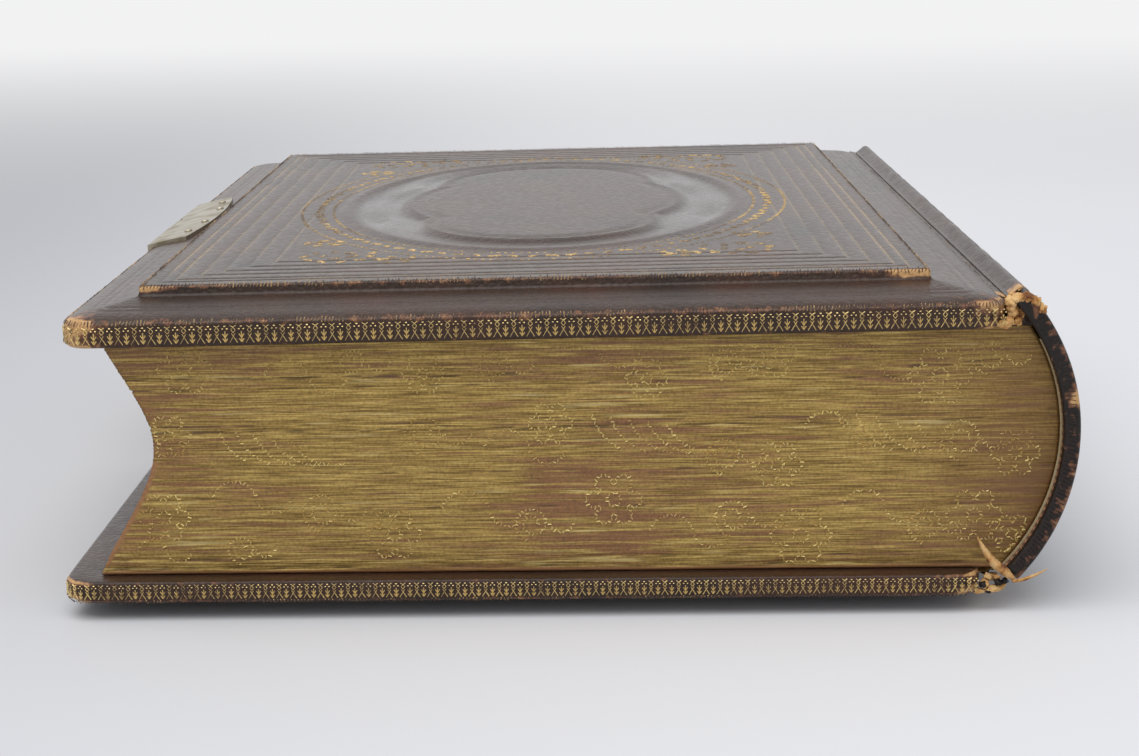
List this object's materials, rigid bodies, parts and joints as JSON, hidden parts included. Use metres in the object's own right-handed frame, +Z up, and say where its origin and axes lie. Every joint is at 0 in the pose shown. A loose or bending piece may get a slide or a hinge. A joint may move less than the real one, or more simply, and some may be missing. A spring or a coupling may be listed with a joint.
{
  "type": "antique leather book",
  "caption": "Thick antique book in full leather lying shut, with hinged covers, gilt page block, rounded spine, raised cover panels and a hinged metal clasp",
  "frame": {"origin": "under the middle of the book, at the centre of the bounding box's base", "axes": "+Z up, from the table; +Y from tail to head, along the spine; +X from the fore edge to the spine"},
  "size_m": [0.2829, 0.32, 0.0931],
  "materials": {
    "dark_leather": "satin",
    "millboard": "matte",
    "endpaper": "matte",
    "gilt_pages": "satin",
    "linen": "matte",
    "endband": "matte",
    "clasp_metal": "satin"
  },
  "bodies": {
    "lower_cover": {"lower_board": "millboard", "lower_panel": "millboard", "lower_leather": "dark_leather", "lower_pastedown": "endpaper", "lower_joint": "dark_leather", "catch_plate": "clasp_metal", "catch_rivets": "clasp_metal"},
    "book_block": {"text_block": "gilt_pages", "spine_lining": "linen", "spine_card": "millboard", "spine_leather": "dark_leather", "tail_endband": "endband", "head_endband": "endband", "upper_joint": "dark_leather"},
    "upper_cover": {"upper_board": "millboard", "upper_panel": "millboard", "upper_leather": "dark_leather", "upper_pastedown": "endpaper", "clasp_plate": "clasp_metal", "clasp_rivets": "clasp_metal", "clasp_pin": "clasp_metal"},
    "hasp": {"clasp_hasp": "clasp_metal"}
  },
  "joints": [
    {"name": "lower_cover_hinge", "type": "hinge", "parent": "lower_cover", "child": "book_block", "pos_m": [0.12085, 0, 0.006], "axis": [0, 1, 0], "range_deg": [0, 60]},
    {"name": "upper_cover_hinge", "type": "hinge", "parent": "book_block", "child": "upper_cover", "pos_m": [0.12283, 0, 0.09054], "axis": [0, 1, 0], "range_deg": [0, 170]},
    {"name": "hasp_hinge", "type": "hinge", "parent": "upper_cover", "child": "hasp", "pos_m": [-0.13563, 0, 0.08233], "axis": [0, 1, 0], "range_deg": [-1.15, 150]}
  ]
}
